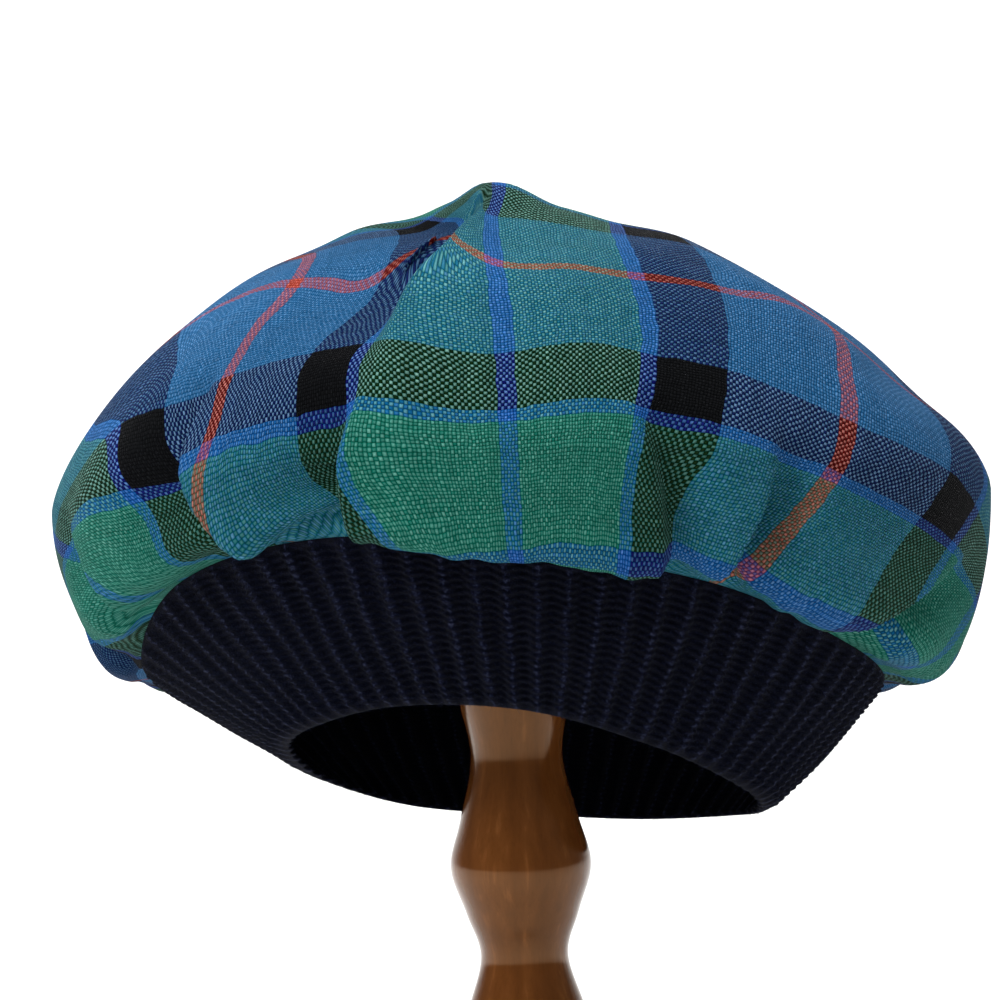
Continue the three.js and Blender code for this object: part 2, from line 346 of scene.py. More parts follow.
# ------------------------------------------------------------------ crown
def crown_form(azimuths, shares):
    """The crown's smooth form, its arc length from the peak, and each section's direction in plan."""
    az = azimuths[:, None]
    columns = ("bulge_radius", "bulge_z", "upper_fullness", "lower_fullness", "sag")
    radius, bulge_z, upper, lower, sag = (at(CROWN_SECTIONS, c, az) for c in columns)
    seam = in_plan(SEAM_CENTRE, at(BAND_SECTIONS, "seam_radius", az), az, at(BAND_SECTIONS, "seam_z", az))
    bulge = in_plan(BULGE_CENTRE, radius, az, bulge_z)
    q = np.linspace(0, np.pi / 2, ARC_SAMPLES)[None, :]
    out, up = np.cos(q) ** (2 / upper), np.sin(q) ** (2 / upper)
    top = np.stack([bulge[..., 0] * out, bulge[..., 1] * out, bulge_z + (PEAK_Z - bulge_z) * up], -1)
    out, down = np.cos(q) ** (2 / lower), np.sin(q) ** (2 / lower)
    droop = sag * 1.5 * np.sin(2 * q) ** 2 * np.sin(q) ** 2
    low = np.stack(
        [
            seam[..., 0] + (bulge[..., 0] - seam[..., 0]) * out,
            seam[..., 1] + (bulge[..., 1] - seam[..., 1]) * out,
            bulge_z - (bulge_z - seam[..., 2]) * down - droop,
        ],
        -1,
    )
    line = np.concatenate([top[:, ::-1], low[:, 1:]], 1)
    step = np.linalg.norm(np.diff(line, axis=1), axis=2)
    along = np.concatenate([np.zeros((len(azimuths), 1)), np.cumsum(step, 1)], 1)
    arcs = shares[None, :] * along[:, -1:]
    points = np.empty(arcs.shape + (3,))
    for i in range(len(azimuths)):
        for k in range(3):
            points[i, :, k] = np.interp(arcs[i], along[i], line[i, :, k])
    return points, arcs, np.arctan2(bulge[:, 0, 0], -bulge[:, 0, 1])


def fold_path(fold, share):
    """How far down a fold each point is, from 0 at its top to 1 at the seam."""
    return np.clip((share - fold["top"]) / (1 - fold["top"]), 0, 1)


def fold_line(fold, az, share, radius):
    """Distance in millimetres from a fold, positive on the lobe that laps over, and the fold's strength."""
    path = fold_path(fold, share)
    line = fold["top_azimuth"] + path * (fold["seam_azimuth"] - fold["top_azimuth"])
    x = np.radians(turn(line, az)) * radius * fold["over"]
    dying = smooth(share, fold["end"] - FOLD_FADE, fold["end"])
    return x, smooth(share, fold["top"], fold["full"]) * (1 - dying)


def patch(row, az, share):
    """1 at a row's azimuth and share, falling smoothly to 0 round it."""
    a = turn(row["azimuth"], az) / row["azimuth_spread"]
    b = (share - row["share"]) / row["share_spread"]
    return np.exp(-(a**2) - b**2)


def fold_offsets(az, share, radius):
    """How far each point moves out along the normal, and sideways round the hat, in millimetres."""
    out, side = np.zeros(az.shape), np.zeros(az.shape)
    for fold in rows_of(FOLDS):
        x, strength = fold_line(fold, az, share, radius)
        dive = np.exp(-((np.minimum(x, 0) / fold["dive"]) ** 2))
        out -= fold["depth"] * strength * dive * (1 - smooth(x, 0, fold["wall"]))
        lap = smooth(x, 0, fold["wall"]) * (1 - smooth(x, fold["wall"], fold["wall"] + 30))
        side -= fold["over"] * fold["lap"] * strength * lap
    for swelling in rows_of(SWELLINGS):
        out += swelling["out"] * patch(swelling, az, share)
    hang = PUFF["at_back"] + (1 - PUFF["at_back"]) * np.exp(-((az / PUFF["reach"]) ** 4))
    out += PUFF["out"] * hang * np.exp(-(((share - PUFF["share"]) / PUFF["spread"]) ** 2))
    return out, side


def tip_drop(az, radius):
    """How far the cloth falls away round the stand's tip, in millimetres."""
    behind = -turn(TIP_REACH["crease"], az)  # degrees from the crease round to the left
    left = smooth(np.radians(behind) * radius, -1.0, 3.0)
    reach = [TIP_REACH["crease"] - TIP_REACH[end] for end in ("back", "back_end")]
    left_part = np.where(np.abs(behind) < 170, left * (1 - smooth(behind, *reach)), 0)
    total = 0
    for part, drop in zip((left_part, 1 - left), rows_of(TIP_DROPS)):
        ring = smooth(radius, 3, drop["full"]) * (1 - smooth(radius, drop["fade"], drop["end"]))
        total = total + drop["drop"] * part * ring
    return total


def gathers(azimuths, shares):
    """Small puckers where the cloth is gathered into the band, and a soft unevenness all over."""
    share = shares[None, :]
    near = smooth(share, 0.86, 0.965) * (1 - smooth(share, 0.985, 1.0))
    wide = smooth(share, 0.7, 0.95) * (1 - smooth(share, 0.975, 1.0))
    puckers = waves(azimuths, range(34, 92, 3), 0.4)[:, None] * near
    puckers = puckers + waves(azimuths, range(16, 40, 2), 0.55)[:, None] * wide
    slow = sum(
        waves(azimuths, range(4 + 2 * k, 13 + 2 * k, 2), 0.45)[:, None]
        * np.sin(np.pi * (k + 1) * share + RNG.uniform(0, 6))
        for k in range(4)
    )
    return puckers + slow * smooth(share, 0.15, 0.45) * (1 - smooth(share, 0.95, 1.0))


def cloth_coordinates(arcs, towards, az, share, radius):
    """Where each point lies on the flat cloth, in cloth units across (u) and up (v)."""
    arc = arcs / CLOTH_UNIT
    phi = towards[:, None]
    # Away from the peak the cloth's directions draw in towards the front, because the form isn't flat.
    lag = 0.275 * smooth(arc, 20, 88)
    angle = phi - lag * (1.45 * np.sin(phi) - 0.225 * np.sin(2 * phi))
    u, v = arc * np.sin(angle), -arc * np.cos(angle)
    for shift in rows_of(CLOTH_SHIFTS):
        weight = patch(shift, az, share)
        u += shift["shift_u"] * weight
        v += shift["shift_v"] * weight
    for fold in rows_of(FOLDS):
        x, strength = fold_line(fold, az, share, radius)
        held = np.where(fold["end"] > 1, fold_path(fold, share) ** 1.5, 1)
        hidden = fold["over"] * fold["hidden"] * strength * held * (1 - smooth(x, 0, fold["wall"]))
        hidden = hidden * (1 - smooth(-x, 10 + 3 * fold["hidden"], 10 + 9 * fold["hidden"]))
        across = angle * smooth(np.abs(angle), 0.9, 1.7)
        u -= hidden * np.cos(across)
        v -= hidden * np.sin(across)
    return np.stack([u, v], -1) + PATTERN_MIDDLE


def crown_azimuths():
    """Azimuths of the mesh's columns, closer together at the front and across its sharp folds."""
    fine = np.linspace(-180, 180, 7201)
    density = 1 + 0.5 * np.exp(-((fine / 75) ** 4))
    for middle, spread, extra in ((-46, 6.5, 2.6), (-21.5, 4, 3.0), (60, 8, 0.8), (26, 7, 0.8)):
        density += extra * np.exp(-(((fine - middle) / spread) ** 2))
    total = np.concatenate([[0], np.cumsum((density[1:] + density[:-1]) / 2)])
    return np.interp(np.arange(CROWN_AROUND) / CROWN_AROUND * total[-1], total, fine)


def make_crown():
    """The gathered cloth, as one closed shell with its seam allowance turned in below the band's top."""
    azimuths = crown_azimuths()
    # Rings lie closer together over the last part, where the gathers are.
    shares = np.interp(np.arange(1, CROWN_RINGS + 1) / CROWN_RINGS, (0, 0.62, 1), (0, 0.72, 1))
    form, arcs, towards = crown_form(azimuths, shares)
    az, share = np.meshgrid(azimuths, shares, indexing="ij")
    radius = np.hypot(form[..., 0], form[..., 1])
    cloth = cloth_coordinates(arcs, towards, az, share, radius)
    form[..., 2] -= tip_drop(az, radius)
    normal, around = outward_and_around(form)
    out, side = fold_offsets(az, share, radius)
    out += gathers(azimuths, shares)
    at_seam = 1 - smooth(share, 0.972, 1.0)
    outer = form + (out * at_seam)[..., None] * normal + (side * at_seam)[..., None] * around
    seam_middle = np.array([*SEAM_CENTRE, 0])
    inward = (seam_middle - outer[:, -1:]) * (1, 1, 0)
    inward /= np.linalg.norm(inward, axis=-1, keepdims=True)
    allowance = outer[:, -1:] + inward * np.array(SEAM_ALLOWANCE)[None, :, None]
    outer = np.concatenate([outer, allowance], 1)
    cloth = np.concatenate([cloth, np.repeat(cloth[:, -1:], len(SEAM_ALLOWANCE), 1)], 1)
    inner = outer - CLOTH * outward_and_around(outer)[0]
    rows = np.concatenate([outer.transpose(1, 0, 2), inner.transpose(1, 0, 2)[::-1]])
    uv_rows = np.concatenate([cloth.transpose(1, 0, 2), cloth.transpose(1, 0, 2)[::-1]])
    points = np.concatenate([rows.reshape(-1, 3), [[0, 0, PEAK_Z], [0, 0, PEAK_Z - CLOTH]]])
    faces = [loft_faces(CROWN_AROUND, len(rows), False), cap_faces(CROWN_AROUND, len(rows))]
    piece = mesh_object("tartan_crown", points, faces)
    set_uv(piece, "cloth", np.concatenate([uv_rows.reshape(-1, 2), [PATTERN_MIDDLE] * 2]))
    return piece


# ------------------------------------------------------------------ headband
def band_point(azimuth, down, inward):
    """A point of the band: down from 0 at the seam to 1 at the rim, inward from its outer face."""
    top = in_plan(
        SEAM_CENTRE,
        at(BAND_SECTIONS, "seam_radius", azimuth) - inward,
        azimuth,
        at(BAND_SECTIONS, "seam_z", azimuth) - BAND_GAP,
    )
    rim = in_plan(
        RIM_CENTRE,
        at(BAND_SECTIONS, "rim_radius", azimuth) - inward,
        azimuth,
        at(BAND_SECTIONS, "rim_z", azimuth),
    )
    return top + (rim - top) * np.asarray(down)[..., None]


def knit_relief(azimuth, length):
    """Height of the 1x1 rib's face: ridges of nested V stitches with rungs of purl between them."""
    rib = azimuth / 360 * RIBS
    across = (rib % 1) - 0.5
    uneven = np.sin(2.4 * np.floor(rib)) + 0.6 * np.sin(5.1 * np.floor(rib) + length / 7.3)
    row = length / COURSE + 0.22 * uneven
    ridge = np.clip(np.cos(2 * np.pi * across) * 1.3 + 0.1, -0.85, 1.0)
    stitch = np.cos(2 * np.pi * (row + 1.3 * np.abs(across)))
    rung = np.cos(2 * np.pi * (row + 0.5))
    on_ridge = smooth(0.5 - np.abs(across), 0.16, 0.3)
    return 1.15 * ridge + 0.42 * stitch * on_ridge + 0.4 * rung * (1 - on_ridge)


def make_headband():
    """The knit band as one closed ring, and the rows of points on its face and rim."""
    around = RIBS * RIB_POINTS
    az = (np.arange(around) * 360 / around - 180)[None, :]
    shown_rows = BAND_ROWS["outer"] + BAND_ROWS["rim"]
    slant = np.linalg.norm(band_point(az, 1.0, 0.0) - band_point(az, 0.0, 0.0), axis=-1)

    def face(downs, inward, sign):
        down = downs[:, None] + 0 * az
        bulge = -BAND_BULGE * np.sin(np.pi * down)
        relief = knit_relief(az + 0 * down + (180 / RIBS if sign < 0 else 0), down * slant)
        sway = 0.5 * np.sin(np.radians(az * 9) + 5 * down) + 0.35 * np.sin(np.radians(az * 23) - 7 * down)
        sway = sway * np.sin(np.pi * np.clip(down, 0, 1))
        relief = relief * smooth(down, 0.0, 0.06)
        return band_point(az + 0 * down, down, inward * KNIT + bulge + sway - sign * relief)

    outer_downs = np.linspace(0, RIM_START, BAND_ROWS["outer"])
    inner_downs = np.linspace(RIM_START, 0, BAND_ROWS["inner"])
    angle = np.linspace(0, np.pi, BAND_ROWS["rim"] + 2)[1:-1, None]
    down = RIM_START + (1 - RIM_START) * np.sin(angle) + 0 * az
    inward = KNIT * (0.5 - 0.5 * np.cos(angle)) + 0 * az
    wobble = knit_relief(az + 0 * down, 0 * down) * np.cos(angle)
    rim = band_point(az + 0 * down, down, inward - 0.6 * wobble)
    rows = np.concatenate([face(outer_downs, 0.0, 1), rim, face(inner_downs, 1.0, -1)])
    piece = mesh_object("knit_headband", rows.reshape(-1, 3), [loft_faces(around, len(rows), True)])
    downs = np.concatenate([outer_downs, np.full(BAND_ROWS["rim"], 0.99), inner_downs])
    ribs = az / 360 * RIBS + 0 * downs[:, None]
    ribs[shown_rows:] += 0.5
    courses = downs[:, None] * slant / COURSE
    set_uv(piece, "knit", np.stack([ribs.ravel(), courses.ravel()], -1))
    return piece, rows[:shown_rows]


def make_fuzz(rows):
    """Loose wool ends that stand off the band's face and rim, each a thin closed spike."""
    around = np.roll(rows, -1, 1) - np.roll(rows, 1, 1)
    down = np.gradient(rows, axis=0)
    normal = unit(np.cross(around, down))
    near_rim = RNG.random(FUZZ) < RIM_FUZZ_SHARE
    low_row, any_row = (RNG.integers(first, len(rows), FUZZ) for first in (len(rows) - RIM_FUZZ_ROWS, 4))
    row = np.where(near_rim, low_row, any_row)
    column = RNG.integers(0, rows.shape[1], FUZZ)
    root, out = rows[row, column], normal[row, column]
    along = unit(out + RNG.normal(0, FUZZ_END["lean"], (FUZZ, 3)))
    length = RNG.uniform(FUZZ_END["shortest"], FUZZ_END["longest"], (FUZZ, 1))
    side = FUZZ_END["thickness"] * unit(np.cross(along, RNG.normal(0, 1, (FUZZ, 3))))
    other = np.cross(along, side)
    start = root - FUZZ_END["rooted"] * out
    corners = [start + side, start - 0.5 * side + 0.87 * other, start - 0.5 * side - 0.87 * other]
    points = np.stack(corners + [start + length * along], 1).reshape(-1, 3)
    first = 4 * np.arange(FUZZ)[:, None]
    faces = np.concatenate([first + np.array(f) for f in ([0, 2, 1], [0, 1, 3], [1, 2, 3], [2, 0, 3])])
    return mesh_object("wool_fuzz", points, [faces])


# ------------------------------------------------------------------ stand
def spline(columns, per_span):
    """Points on a smooth open curve through the rows of two columns."""
    p = np.stack(columns, -1)
    p = np.concatenate([[2 * p[0] - p[1]], p, [2 * p[-1] - p[-2]]])
    t = np.linspace(0, 1, per_span, endpoint=False)[:, None]
    spans = [
        0.5 * (2 * b + (c - a) * t + (2 * a - 5 * b + 4 * c - d) * t**2 + (3 * b - a - 3 * c + d) * t**3)
        for a, b, c, d in zip(p, p[1:], p[2:], p[3:])
    ]
    return np.concatenate(spans + [p[-2:-1]])


def quarter_arc(radius, middle_r, middle_z, steps=8):
    """(radius, z) points from the widest place of a rounded edge up to its top."""
    a = np.linspace(0, np.pi / 2, steps)
    return np.stack([middle_r + radius * np.cos(a), middle_z + radius * np.sin(a)], -1)


def lathe(name, outline, sides):
    """A turned solid from (radius, z) points between two points on the axis."""
    ends = [[0, 0, outline[0][1]], [0, 0, outline[-1][1]]]
    rings = np.asarray(outline)[1:-1]
    a = np.arange(sides) * 2 * np.pi / sides
    rows = np.stack([rings[:, :1] * np.cos(a), rings[:, :1] * np.sin(a), rings[:, 1:] + 0 * a], -1)
    faces = [loft_faces(sides, len(rows), False)[:, ::-1], cap_faces(sides, len(rows))[:, ::-1]]
    return mesh_object(name, np.concatenate([rows.reshape(-1, 3), ends]), faces)


def make_stand():
    """The post with its beads, the rounded head inside the crown, and the plain foot."""
    turned = spline((POST_OUTLINE["radius"], POST_OUTLINE["z"]), 10)
    foot, shoulder = turned[0, 1], turned[-1, 0]
    post = lathe("turned_post", [[0, foot], *turned, [shoulder, POST_TOP], [0, POST_TOP]], POST_SIDES)

    tip_z = HEAD["top"] - HEAD["tip_radius"]
    radii = [HEAD["neck"], HEAD["radius"], HEAD_UPPER["radius"], HEAD["tip_radius"]]
    side = spline((radii, [HEAD["bottom"], HEAD["widest_z"], HEAD_UPPER["z"], tip_z]), 8)
    tip = quarter_arc(HEAD["tip_radius"], 0, tip_z)[1:-1]
    head = lathe("peg_head", [[0, HEAD["bottom"]], *side, *tip, [0, HEAD["top"]]], HEAD_SIDES)

    shoulder_z = BASE["height"] - BASE["step"]
    under = [[0, 0], [BASE["radius"] - BASE["chamfer"], 0], [BASE["radius"], BASE["chamfer"]]]
    edge = quarter_arc(BASE["edge"], BASE["radius"] - BASE["edge"], shoulder_z - BASE["edge"])
    cove = [[BASE["collar"] + BASE["step"], shoulder_z], [BASE["collar"], BASE["height"]]]
    base = lathe("round_foot", [*under, *edge, *cove, [0, BASE["height"]]], BASE_SIDES)
    return post, head, base


# ------------------------------------------------------------------ materials
class Nodes:
    """Short calls for building a node tree."""

    def __init__(self, name):
        self.material = bpy.data.materials.new(name)
        self.material.use_nodes = True
        self.tree = self.material.node_tree
        self.shader = self.tree.nodes["Principled BSDF"]

    def put(self, socket, value):
        if isinstance(value, bpy.types.NodeSocket):
            self.tree.links.new(value, socket)
        else:
            socket.default_value = value

    def node(self, kind, inputs=(), **settings):
        made = self.tree.nodes.new(kind)
        for key, value in settings.items():
            setattr(made, key, value)
        for key, value in dict(inputs).items():
            self.put(made.inputs[key], value)
        return made

    def math(self, operation, *values, clamp=False):
        made = self.tree.nodes.new("ShaderNodeMath")
        made.operation = operation
        made.use_clamp = clamp
        for i, value in enumerate(values):
            self.put(made.inputs[i], value)
        return made.outputs[0]

    def mix(self, factor, a, b, blend="MIX"):
        made = self.tree.nodes.new("ShaderNodeMix")
        made.data_type = "RGBA"
        made.blend_type = blend
        self.put(made.inputs[0], factor)
        self.put(made.inputs[6], a)
        self.put(made.inputs[7], b)
        return made.outputs[2]

    def between(self, factor, a, b):
        """A number between a and b."""
        made = self.tree.nodes.new("ShaderNodeMix")
        self.put(made.inputs[0], factor)
        self.put(made.inputs[2], a)
        self.put(made.inputs[3], b)
        return made.outputs[0]

    def vector(self, x, y, z=0.0):
        return self.node("ShaderNodeCombineXYZ", {0: x, 1: y, 2: z}).outputs[0]

    def vector_math(self, operation, a, b):
        return self.node("ShaderNodeVectorMath", {0: a, 1: b}, operation=operation).outputs[0]

    def scaled(self, value, factor, offset):
        """value * factor + offset."""
        return self.math("ADD", self.math("MULTIPLY", value, factor), offset)

    def brightness(self, shown):
        return self.node("ShaderNodeRGBToBW", {0: shown}).outputs[0]

    def rounded(self, place, width, power):
        """1 in the middle of a thread, falling to its sides."""
        aside = self.math("ABSOLUTE", self.math("MULTIPLY", place, width))
        return self.math("SUBTRACT", 1.0, self.math("POWER", aside, power))

    def noise(self, vector, scale, detail=2.0, roughness=0.5):
        inputs = {"Vector": vector, "Scale": scale, "Detail": detail, "Roughness": roughness}
        return self.node("ShaderNodeTexNoise", inputs).outputs[0]

    def ramp(self, factor, stops, interpolation="LINEAR"):
        made = self.tree.nodes.new("ShaderNodeValToRGB")
        ramp = made.color_ramp
        ramp.interpolation = interpolation
        while len(ramp.elements) < len(stops):
            ramp.elements.new(1.0)
        for element, (position, colour) in zip(ramp.elements, stops):
            element.position = position
            element.color = colour
        self.put(made.inputs[0], factor)
        return made.outputs[0]

    def bump(self, height, distance, strength):
        inputs = {"Height": height, "Distance": distance, "Strength": strength}
        return self.node("ShaderNodeBump", inputs).outputs[0]


def colour(red, green, blue):
    """An sRGB colour of 0 to 255 as a linear one."""
    shares = (red / 255, green / 255, blue / 255)
    return tuple(c / 12.92 if c <= 0.04045 else ((c + 0.055) / 1.055) ** 2.4 for c in shares) + (1.0,)


# Where each dye of the half sett begins, in cloth units from the middle of the azure line.
TARTAN = [
    (0, colour(36, 84, 146)),  # azure
    (2, colour(46, 107, 94)),  # green
    (31, colour(36, 84, 146)),  # azure
    (35, colour(11, 12, 14)),  # black
    (51, colour(45, 90, 130)),  # blue
    (81, colour(152, 66, 54)),  # red
]
PALE_SHARE = 0.42  # how much of the light and shade on a thread is grey and not its own colour
BLEED = 0.62  # how far the two crossing threads' colours run into each other
DARKEST = 0.001  # the least colour anywhere on the cloth


def tartan_material():
    """A plain weave of dyed threads, worked out from each point's place on the flat cloth."""
    n = Nodes("tartan_wool")
    uv = n.node("ShaderNodeUVMap", uv_map="cloth").outputs[0]
    drift = n.node("ShaderNodeTexNoise", {"Vector": uv, "Scale": 0.16, "Detail": 2.0}).outputs[1]
    drift = n.node("ShaderNodeSeparateColor", {0: drift})
    split = n.node("ShaderNodeSeparateXYZ", {0: uv})

    def in_threads(axis, count):
        wander = n.math("MULTIPLY", n.math("SUBTRACT", drift.outputs[axis], 0.5), 1.6)
        return n.math("MULTIPLY", n.math("ADD", split.outputs[axis], wander), count / HALF_SETT)

    u, v = in_threads(0, WARP_ENDS), in_threads(1, WEFT_PICKS)
    warp, weft = n.math("FLOOR", u), n.math("FLOOR", v)
    a = n.math("SUBTRACT", n.math("FRACT", u), 0.5)
    b = n.math("SUBTRACT", n.math("FRACT", v), 0.5)
    over = n.math("PINGPONG", n.math("ADD", warp, weft), 1.0)

    def thread(number, along, count, seed):
        """A thread's dye, with its own tone and slubs."""
        place = n.math("DIVIDE", n.math("PINGPONG", n.math("ADD", number, 0.5), count), count)
        dyed = n.ramp(place, [(p / HALF_SETT, c) for p, c in TARTAN], "CONSTANT")
        odd = n.node("ShaderNodeTexWhiteNoise", {"W": n.math("ADD", number, seed)}, noise_dimensions="1D")
        slub = n.noise(n.vector(n.math("MULTIPLY", number, 7.3), n.math("MULTIPLY", along, 0.22), seed), 1.0)
        tone = n.math("ADD", n.math("MULTIPLY", odd.outputs[0], 0.26), n.math("MULTIPLY", slub, 0.7))
        tone = n.math("ADD", tone, 0.52)
        tone = n.node("ShaderNodeCombineColor", {0: tone, 1: tone, 2: tone}).outputs[0]
        return n.mix(1.0, dyed, tone, "MULTIPLY")

    up_thread, side_thread = thread(warp, v, WARP_ENDS, 3.0), thread(weft, u, WEFT_PICKS, 57.0)
    own = n.mix(over, up_thread, side_thread)
    shared = n.mix(0.5, up_thread, side_thread)
    lift = n.math("SUBTRACT", n.brightness(own), n.brightness(shared))
    bled = n.vector_math("ADD", shared, n.vector(lift, lift, lift))
    bled = n.vector_math("MAXIMUM", bled, (1.5 * DARKEST,) * 3)
    dyed = n.mix(BLEED, own, bled)

    # Light and shade: each crossing is a rounded grain, and the warp's stand a little prouder.
    grain_across = n.rounded(n.between(over, a, b), 1.9, 2.4)
    grain_along = n.rounded(n.between(over, b, a), 1.6, 2.2)
    grain = n.math("MULTIPLY", grain_across, grain_along, clamp=True)
    fibre = n.noise(uv, 3.2, 3.0, 0.65)
    shade = n.scaled(n.math("MULTIPLY", grain, n.between(over, 1.28, 0.8)), 1.15, 0.1)
    cell = n.node("ShaderNodeTexWhiteNoise", {"Vector": n.vector(warp, weft)}, noise_dimensions="2D")
    shade = n.math("MULTIPLY", shade, n.scaled(cell.outputs[0], 0.36, 0.83))
    shade = n.math("MULTIPLY", shade, n.scaled(fibre, 0.9, 0.55))
    grey_part = n.math("MULTIPLY", n.math("SUBTRACT", shade, 1.0), PALE_SHARE)
    grey_part = n.math("MULTIPLY", n.brightness(dyed), grey_part)
    own_part = n.scaled(shade, 1.0 - PALE_SHARE, PALE_SHARE)
    lit = n.vector_math("MULTIPLY", dyed, n.vector(own_part, own_part, own_part))
    lit = n.vector_math("ADD", lit, n.vector(grey_part, grey_part, grey_part))
    n.put(n.shader.inputs["Base Color"], n.vector_math("MAXIMUM", lit, (DARKEST,) * 3))
    n.put(n.shader.inputs["Roughness"], n.scaled(fibre, 0.25, 0.68))
    n.shader.inputs["Specular IOR Level"].default_value = 0.04
    n.shader.inputs["Sheen Weight"].default_value = 0.01
    n.shader.inputs["Sheen Roughness"].default_value = 0.45
    height = n.math("ADD", grain, n.math("MULTIPLY", fibre, 0.35))
    n.put(n.shader.inputs["Normal"], n.bump(height, 0.00035, 0.9))
    return n.material


def knit_material():
    """Dark wool with painted highlights up the rib ridges and on their stitches, painted shade in the
    hollows between the ribs, and tufts all over.
    """
    n = Nodes("navy_knit_wool")
    place = n.node("ShaderNodeTexCoord").outputs["Object"]
    split = n.node("ShaderNodeSeparateXYZ", {0: n.node("ShaderNodeUVMap", uv_map="knit").outputs[0]})
    sway = n.math("SUBTRACT", n.noise(place, 260.0, 3.0, 0.6), 0.5)
    jitter = n.math("SUBTRACT", n.noise(place, 420.0, 2.0, 0.6), 0.5)
    rib = n.math("ADD", split.outputs[0], n.math("MULTIPLY", sway, 0.5))
    row = n.math("ADD", split.outputs[1], n.math("MULTIPLY", jitter, 1.6))
    aside = n.math("ABSOLUTE", n.math("SUBTRACT", n.math("FRACT", rib), 0.5))
    # 1 along the middle of each rib's ridge, where the painted highlight goes.
    line = n.node("ShaderNodeMapRange", {0: aside, 1: 0.03, 2: 0.15, 3: 1.0, 4: 0.0}).outputs[0]
    stitch = n.math("PINGPONG", n.math("ADD", row, n.math("MULTIPLY", aside, 1.4)), 0.5)
    loops = n.math("PINGPONG", n.math("ADD", row, n.math("MULTIPLY", aside, -0.9)), 0.5)
    tufts = n.noise(place, 1300.0, 4.0, 0.75)
    drawn_out = n.node("ShaderNodeMapping", {0: place, 3: (1.0, 1.0, 0.4)}).outputs[0]
    strands = n.noise(drawn_out, 3600.0, 3.0, 0.7)
    wool = n.math("ADD", n.math("MULTIPLY", tufts, 0.5), n.math("MULTIPLY", strands, 0.5))
    # Painted light: each ridge's middle and its stitches come out pale, and the purl rungs a little paler.
    # The hollows between ribs stay near black as painted shade. Wool noise is added on top, and the same sum
    # is the bump's height.
    painted_ridge_highlight = n.math("MULTIPLY", line, n.scaled(stitch, 0.36, 0.1))
    painted_rung_highlight = n.math("MULTIPLY", n.math("SUBTRACT", 1.0, line), n.math("MULTIPLY", loops, 0.2))
    height_and_painted_light = n.math("ADD", n.math("ADD", painted_ridge_highlight, painted_rung_highlight), n.math("MULTIPLY", wool, 1.02))
    # The ramp runs from painted shade, near black, up to a pale painted highlight.
    navy = [(0.42, (1, 2, 9)), (0.58, (5, 8, 21)), (0.72, (17, 21, 41)), (0.95, (62, 68, 96))]
    n.put(n.shader.inputs["Base Color"], n.ramp(height_and_painted_light, [(p, colour(*c)) for p, c in navy]))
    n.shader.inputs["Roughness"].default_value = 0.95
    n.shader.inputs["Specular IOR Level"].default_value = 0.04
    n.shader.inputs["Sheen Weight"].default_value = 0.015
    n.shader.inputs["Sheen Roughness"].default_value = 0.5
    n.put(n.shader.inputs["Normal"], n.bump(height_and_painted_light, 0.0012, 1.0))
    return n.material


def fuzz_material():
    """The loose ends' plain wool."""
    n = Nodes("navy_wool_ends")
    n.shader.inputs["Base Color"].default_value = colour(27, 30, 48)
    n.shader.inputs["Roughness"].default_value = 0.95
    n.shader.inputs["Specular IOR Level"].default_value = 0.05
    return n.material


def wood_material():
    """Mid brown wood under a clear warm varnish."""
    n = Nodes("varnished_wood")
    place = n.node("ShaderNodeTexCoord").outputs["Object"]
    leant = n.node("ShaderNodeMapping", {0: place, 2: (0.08, -0.12, 0.0), 3: (1.0, 1.0, 0.05)}).outputs[0]
    warp = n.noise(leant, 60.0, 3.0, 0.55)
    fine = n.noise(leant, 1400.0, 4.0, 0.65)
    streak = n.noise(leant, 430.0, 3.0, 0.6)
    split = n.node("ShaderNodeSeparateXYZ", {0: leant})
    rings = n.math("ADD", n.math("MULTIPLY", split.outputs[0], 150.0), n.math("MULTIPLY", warp, 5.5))
    rings = n.math("PINGPONG", rings, 1.0)
    figure = n.math("ADD", n.math("MULTIPLY", rings, 0.35), n.math("MULTIPLY", streak, 0.65))
    browns = [(0.3, (80, 44, 17)), (0.5, (86, 48, 19)), (0.66, (91, 52, 22)), (0.8, (106, 64, 30))]
    tone = n.ramp(figure, [(p, colour(*c)) for p, c in browns])
    pores = n.ramp(fine, [(0.36, (0.86, 0.84, 0.82, 1)), (0.5, (1, 1, 1, 1))])
    n.put(n.shader.inputs["Base Color"], n.mix(0.7, tone, n.mix(1.0, tone, pores, "MULTIPLY")))
    n.shader.inputs["Roughness"].default_value = 0.1
    n.shader.inputs["Specular IOR Level"].default_value = 0.5
    n.shader.inputs["Specular Tint"].default_value = (1.0, 0.66, 0.38, 1.0)
    n.put(n.shader.inputs["Normal"], n.bump(fine, 0.00012, 0.35))
    return n.material


def floor_material():
    """A pale, nearly even floor."""
    n = Nodes("pale_floor")
    place = n.node("ShaderNodeTexCoord").outputs["Object"]
    tone = n.ramp(n.noise(place, 3.0), [(0.3, (0.86, 0.86, 0.86, 1)), (0.7, (0.9, 0.9, 0.9, 1))])
    n.put(n.shader.inputs["Base Color"], tone)
    n.shader.inputs["Roughness"].default_value = 0.8
    return n.material


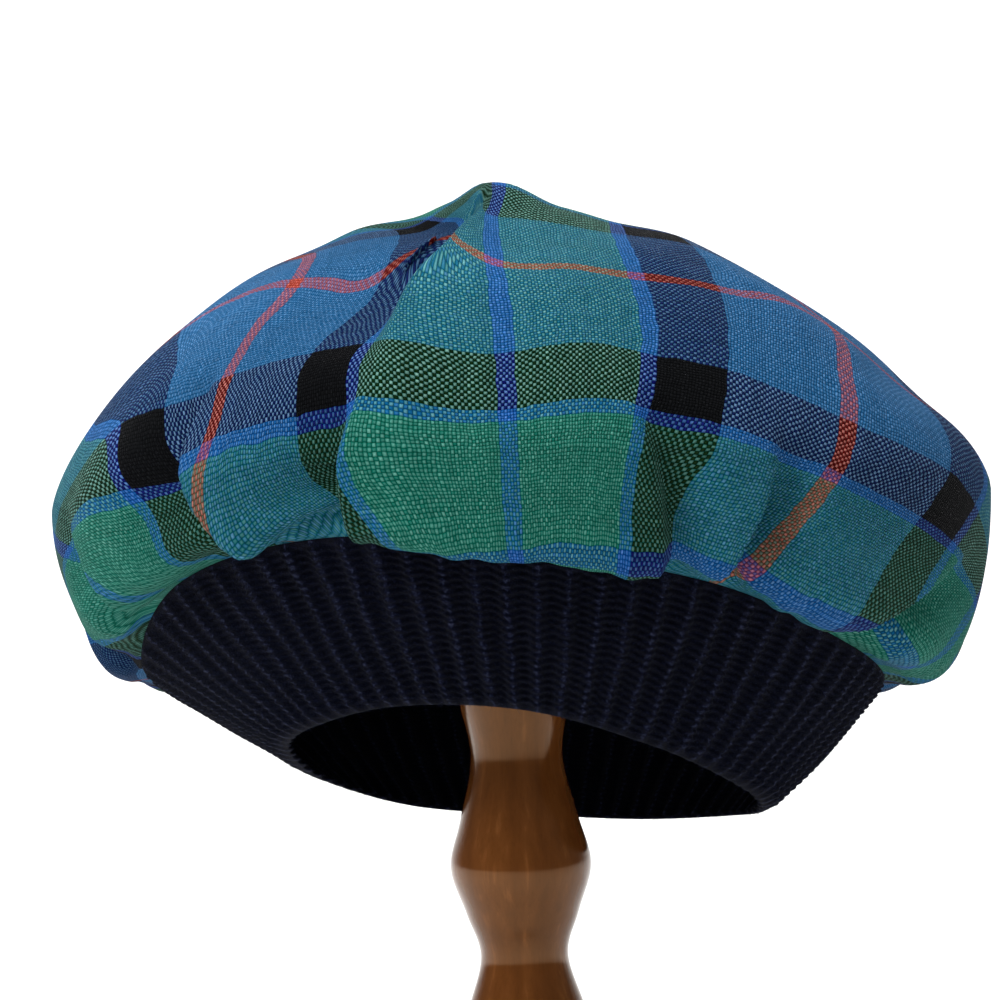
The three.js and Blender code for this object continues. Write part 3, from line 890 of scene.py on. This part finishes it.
# ------------------------------------------------------------------ studio
def make_studio():
    """A pale floor that curves up into a backdrop, with soft lights above it."""
    depth, bend, half = BACKDROP["depth"], BACKDROP["bend"], BACKDROP["half_width"]
    profile = [(BACKDROP["near"], 0.0), (depth - bend, 0.0)]
    for t in np.linspace(0, np.pi / 2, 16)[1:]:
        profile.append((depth - bend + bend * math.sin(t), bend - bend * math.cos(t)))
    profile.append((depth, BACKDROP["rise"]))
    points = [(x / MM, y / MM, z / MM) for y, z in profile for x in (-half, half)]
    faces = [[(2 * i, 2 * i + 1, 2 * i + 3, 2 * i + 2) for i in range(len(profile) - 1)]]
    floor = mesh_object("floor", points, faces)
    floor.data.materials.append(floor_material())
    world = bpy.data.worlds.new("studio")
    bpy.context.scene.world = world
    world.use_nodes = True
    background = world.node_tree.nodes["Background"]
    background.inputs["Color"].default_value = (1.0, 1.0, 1.0, 1.0)
    background.inputs["Strength"].default_value = WORLD_LIGHT
    for k, row in enumerate(rows_of(LIGHTS)):
        data = bpy.data.lights.new(f"softbox_{k}", "AREA")
        data.size = row["size"]
        data.energy = row["watts"]
        lamp = bpy.data.objects.new(data.name, data)
        bpy.context.scene.collection.objects.link(lamp)
        lamp.location = (row["x"], row["y"], row["z"])
        lamp.visible_glossy = False
        aim = Vector((0, row["aim_y"], row["aim_z"])) - Vector(lamp.location)
        lamp.rotation_mode = "QUATERNION"
        lamp.rotation_quaternion = aim.to_track_quat("-Z", "Y")


def make_camera():
    """Level with the hat's widest part, and turned a little so that the post leans to the left."""
    data = bpy.data.cameras.new("camera")
    data.lens = CAMERA["lens"]
    data.sensor_width = CAMERA["sensor"]
    camera = bpy.data.objects.new("camera", data)
    bpy.context.scene.collection.objects.link(camera)
    roll = math.radians(CAMERA["roll"])
    right = (math.cos(roll), 0, -math.sin(roll))
    up = (math.sin(roll), 0, math.cos(roll))
    axes = Matrix((right, up, (0, -1, 0))).transposed().to_4x4()
    camera.matrix_world = Matrix.Translation(CAMERA["place"]) @ axes
    bpy.context.scene.camera = camera


# ------------------------------------------------------------------ assembly
make_camera()
crown = make_crown()
headband, band_face = make_headband()
fuzz = make_fuzz(band_face)
post, head, foot = make_stand()

crown.data.materials.append(tartan_material())
headband.data.materials.append(knit_material())
fuzz.data.materials.append(fuzz_material())
wood = wood_material()
for turned_piece in (post, head, foot):
    turned_piece.data.materials.append(wood)

STANDS_FOR = {
    crown: ("crown", "tartan_wool"),
    headband: ("headband", "knit_wool"),
    post: ("stand_post", "varnished_wood"),
    head: ("stand_head", "varnished_wood"),
    foot: ("stand_base", "varnished_wood"),
}
for piece, (node, slot) in STANDS_FOR.items():
    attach(piece, "root")
    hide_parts(node)
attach(fuzz, "root")

make_studio()
bpy.context.scene.view_settings.view_transform = "Standard"
